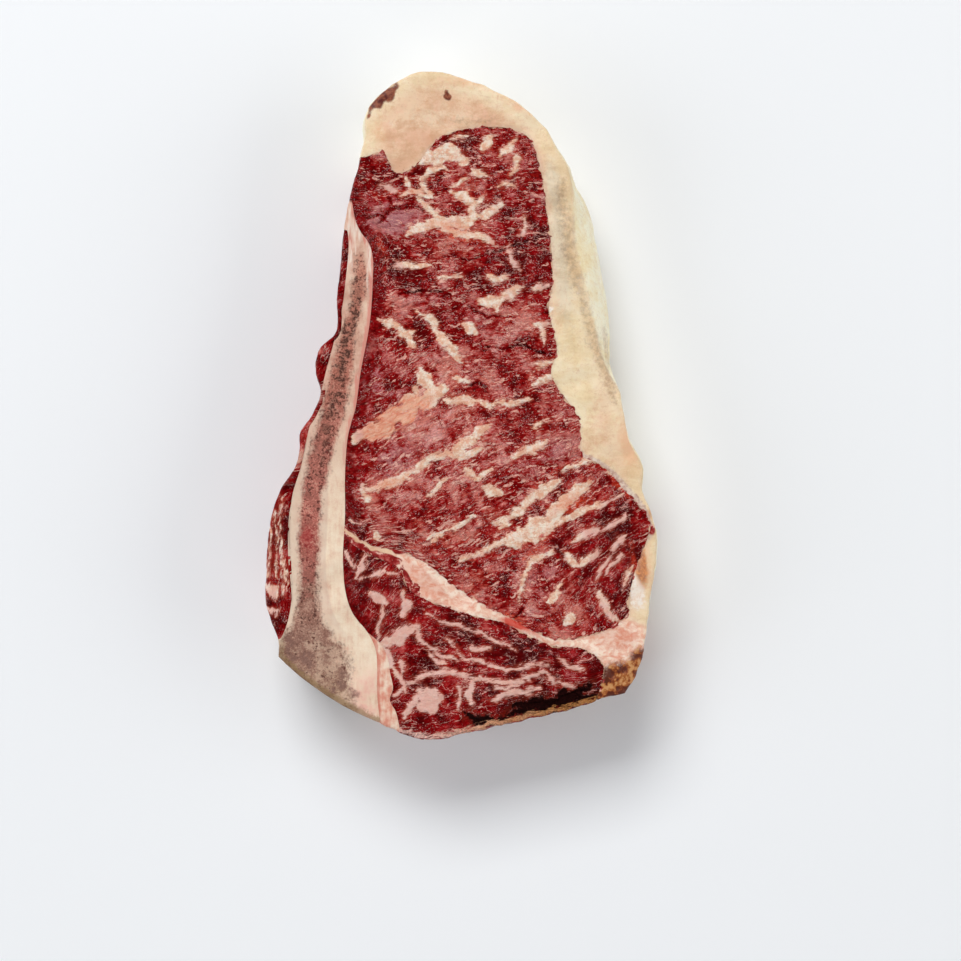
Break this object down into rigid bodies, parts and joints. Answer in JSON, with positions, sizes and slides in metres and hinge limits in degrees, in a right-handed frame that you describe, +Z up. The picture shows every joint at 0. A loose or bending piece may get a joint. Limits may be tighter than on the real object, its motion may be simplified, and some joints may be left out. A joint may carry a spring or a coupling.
{
  "type": "raw bone-in beef strip steak",
  "caption": "Thick raw beef steak on the bone, with marbled lean, a pale fat cap, a curved sawn bone and a dried edge.",
  "frame": {"origin": "on the underside that the steak lies on, under the middle of its bounding box", "axes": "+Z up out of the upper cut face, +Y along the steak towards the fat tail, +X towards the fat side, away from the bone"},
  "size_m": [0.129, 0.219, 0.0393],
  "materials": {
    "lean": "moist raw lean with fat marbling",
    "fat": "waxy cream fat",
    "bone": "sawn bone, dull, with a speckled spongy middle",
    "gristle": "smooth moist gristle"
  },
  "bodies": {
    "root": {"eye_muscle": "lean", "lower_muscle": "lean", "side_muscle": "lean", "fat_cap": "fat", "bone": "bone", "gristle_band": "gristle"}
  },
  "joints": []
}
